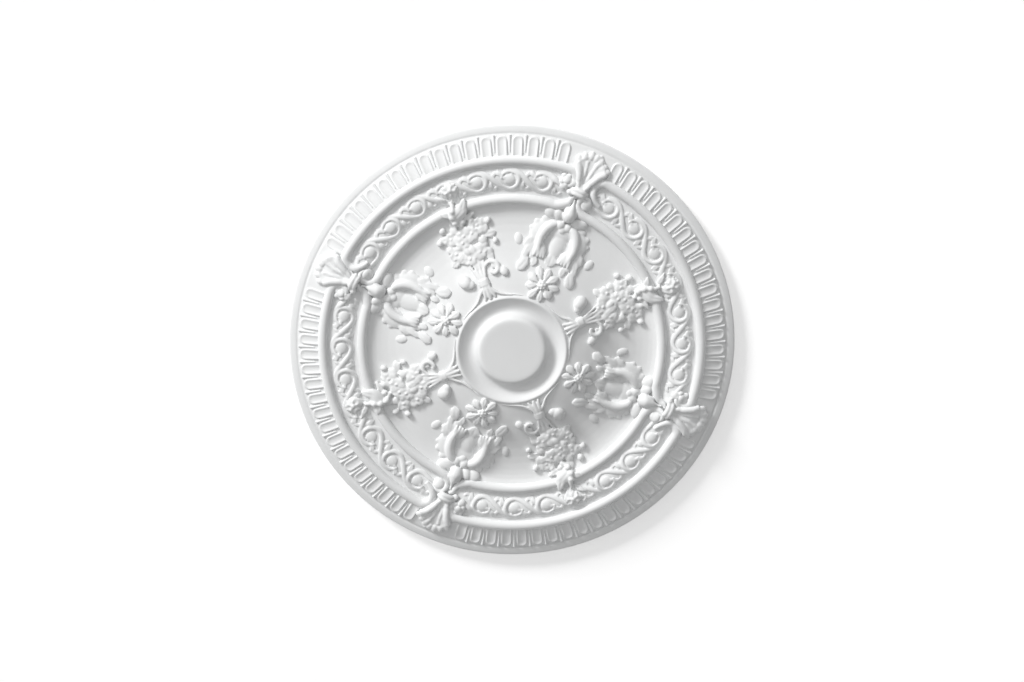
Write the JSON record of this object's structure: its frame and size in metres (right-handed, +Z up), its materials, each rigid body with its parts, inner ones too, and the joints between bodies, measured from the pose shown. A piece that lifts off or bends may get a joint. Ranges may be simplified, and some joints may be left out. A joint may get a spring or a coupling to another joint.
{
  "type": "ceiling rose",
  "caption": "Round cast plaster ceiling rose: flat centre disc in a lipped dish, domed floral field, framed scroll frieze and scooped tongue border.",
  "frame": {"origin": "centre of the flat back face, which lies against the ceiling", "axes": "+Z up into the ceiling along the rose's axis, ornament hangs towards -Z; a bouquet lies 23 degrees from +X and the crossings half way between bouquets"},
  "size_m": [0.7, 0.7, 0.058],
  "materials": {
    "plaster": "matte white cast plaster"
  },
  "bodies": {
    "root": {"ceiling_rose": "plaster"}
  },
  "joints": []
}
